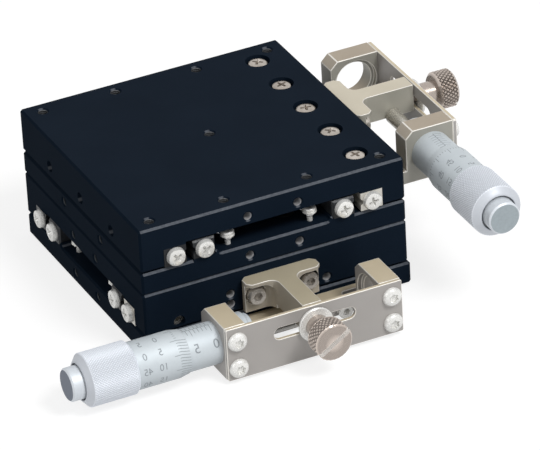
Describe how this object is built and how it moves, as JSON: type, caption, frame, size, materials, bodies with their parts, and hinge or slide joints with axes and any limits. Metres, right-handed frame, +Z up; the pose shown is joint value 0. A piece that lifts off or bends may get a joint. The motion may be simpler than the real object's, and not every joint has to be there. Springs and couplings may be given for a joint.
{
  "type": "xy translation stage",
  "caption": "XY translation stage: a square tapped table on stacked crossed-roller slides, each axis driven by a micrometer head in a side bracket with a lock knob.",
  "frame": {"origin": "middle of the lower base plate, on its underside", "axes": "+Z up to the table; +X along the lower axis, away from its micrometer; +Y along the upper axis, away from its micrometer"},
  "size_m": [0.1275, 0.1024, 0.035],
  "materials": {
    "black_anodised": "black anodised, satin",
    "black_steel": "black oxide",
    "ground_steel": "ground",
    "polished_steel": "polished",
    "spring_steel": "bright wire",
    "bright_nickel": "bright nickel plated",
    "nickel_plate": "nickel plated, satin",
    "satin_chrome": "satin chrome",
    "brass_sheet": "plain sheet"
  },
  "bodies": {
    "lower_fixed": {"lower_base": "black_anodised", "lower_inner_rails": "black_steel", "lower_inner_rail_screws": "black_steel", "lower_inner_rail_end_screws": "bright_nickel", "lower_base_spring_posts": "bright_nickel", "lower_micrometer_holder": "nickel_plate", "lower_holder_screws": "bright_nickel", "lower_lock_plate": "nickel_plate", "lower_lock_plate_screws": "bright_nickel", "lower_micrometer_sleeve": "satin_chrome", "lower_stem_nut": "satin_chrome"},
    "lower_cage_body": {"lower_roller_cages": "brass_sheet", "lower_rollers": "polished_steel"},
    "lower_carriage": {"lower_table": "black_anodised", "lower_outer_rails": "ground_steel", "lower_outer_rail_top_screws": "bright_nickel", "lower_outer_rail_tie_screws": "black_steel", "lower_outer_rail_end_screws": "bright_nickel", "lower_set_screws": "polished_steel", "lower_table_spring_posts": "bright_nickel", "lower_tension_springs": "spring_steel", "lower_drive_arm": "nickel_plate", "lower_drive_arm_screws": "bright_nickel", "upper_base": "black_anodised", "upper_inner_rails": "black_steel", "upper_inner_rail_screws": "black_steel", "upper_inner_rail_end_screws": "bright_nickel", "upper_base_spring_posts": "bright_nickel", "upper_micrometer_holder": "nickel_plate", "upper_holder_screws": "bright_nickel", "upper_lock_plate": "nickel_plate", "upper_lock_plate_screws": "bright_nickel", "upper_micrometer_sleeve": "satin_chrome", "upper_stem_nut": "satin_chrome", "stack_screws": "black_steel"},
    "lower_spindle_body": {"lower_spindle": "polished_steel"},
    "lower_thimble_body": {"lower_thimble": "satin_chrome", "lower_thimble_grip": "satin_chrome", "lower_thimble_cap": "satin_chrome"},
    "lower_knob_body": {"lower_lock_knob": "nickel_plate", "lower_knob_washer": "bright_nickel"},
    "upper_cage_body": {"upper_roller_cages": "brass_sheet", "upper_rollers": "polished_steel"},
    "upper_carriage": {"upper_table": "black_anodised", "upper_outer_rails": "ground_steel", "upper_outer_rail_top_screws": "bright_nickel", "upper_outer_rail_tie_screws": "black_steel", "upper_outer_rail_end_screws": "bright_nickel", "upper_set_screws": "polished_steel", "upper_table_spring_posts": "bright_nickel", "upper_tension_springs": "spring_steel", "upper_drive_arm": "nickel_plate", "upper_drive_arm_screws": "bright_nickel"},
    "upper_spindle_body": {"upper_spindle": "polished_steel"},
    "upper_thimble_body": {"upper_thimble": "satin_chrome", "upper_thimble_grip": "satin_chrome", "upper_thimble_cap": "satin_chrome"},
    "upper_knob_body": {"upper_lock_knob": "nickel_plate", "upper_knob_washer": "bright_nickel"}
  },
  "joints": [
    {"name": "lower_thimble_turn", "type": "hinge", "parent": "lower_spindle_body", "child": "lower_thimble_body", "pos_m": [-0.042, -0.0482, 0.0082], "axis": [1, 0, 0], "range_deg": [-4680, 4680]},
    {"name": "lower_spindle_slide", "type": "slide", "parent": "lower_fixed", "child": "lower_spindle_body", "axis": [1, 0, 0], "range_m": [-0.0065, 0.0065]},
    {"name": "lower_table_slide", "type": "slide", "parent": "lower_fixed", "child": "lower_carriage", "axis": [1, 0, 0], "range_m": [-0.0065, 0.0065], "deforming": ["lower_tension_springs"]},
    {"name": "lower_cage_slide", "type": "slide", "parent": "lower_fixed", "child": "lower_cage_body", "axis": [1, 0, 0], "range_m": [-0.00325, 0.00325]},
    {"name": "lower_lock_turn", "type": "hinge", "parent": "lower_carriage", "child": "lower_knob_body", "pos_m": [0, -0.06, 0.01], "axis": [0, -1, 0], "range_deg": [-140, 220]},
    {"name": "upper_thimble_turn", "type": "hinge", "parent": "upper_spindle_body", "child": "upper_thimble_body", "pos_m": [0.0482, -0.042, 0.0273], "axis": [0, 1, 0], "range_deg": [-4680, 4680]},
    {"name": "upper_spindle_slide", "type": "slide", "parent": "lower_carriage", "child": "upper_spindle_body", "axis": [0, 1, 0], "range_m": [-0.0065, 0.0065]},
    {"name": "upper_table_slide", "type": "slide", "parent": "lower_carriage", "child": "upper_carriage", "axis": [0, 1, 0], "range_m": [-0.0065, 0.0065], "deforming": ["upper_tension_springs"]},
    {"name": "upper_cage_slide", "type": "slide", "parent": "lower_carriage", "child": "upper_cage_body", "axis": [0, 1, 0], "range_m": [-0.00325, 0.00325]},
    {"name": "upper_lock_turn", "type": "hinge", "parent": "upper_carriage", "child": "upper_knob_body", "pos_m": [0.06, 0, 0.0291], "axis": [1, 0, 0], "range_deg": [-140, 220]}
  ],
  "couplings": [
    {"joint": "lower_spindle_slide", "follows": "lower_table_slide", "ratio": 1},
    {"joint": "lower_cage_slide", "follows": "lower_table_slide", "ratio": 0.5},
    {"joint": "lower_thimble_turn", "follows": "lower_table_slide", "rad_per_m": 12566},
    {"joint": "upper_spindle_slide", "follows": "upper_table_slide", "ratio": 1},
    {"joint": "upper_cage_slide", "follows": "upper_table_slide", "ratio": 0.5},
    {"joint": "upper_thimble_turn", "follows": "upper_table_slide", "rad_per_m": 12566}
  ]
}
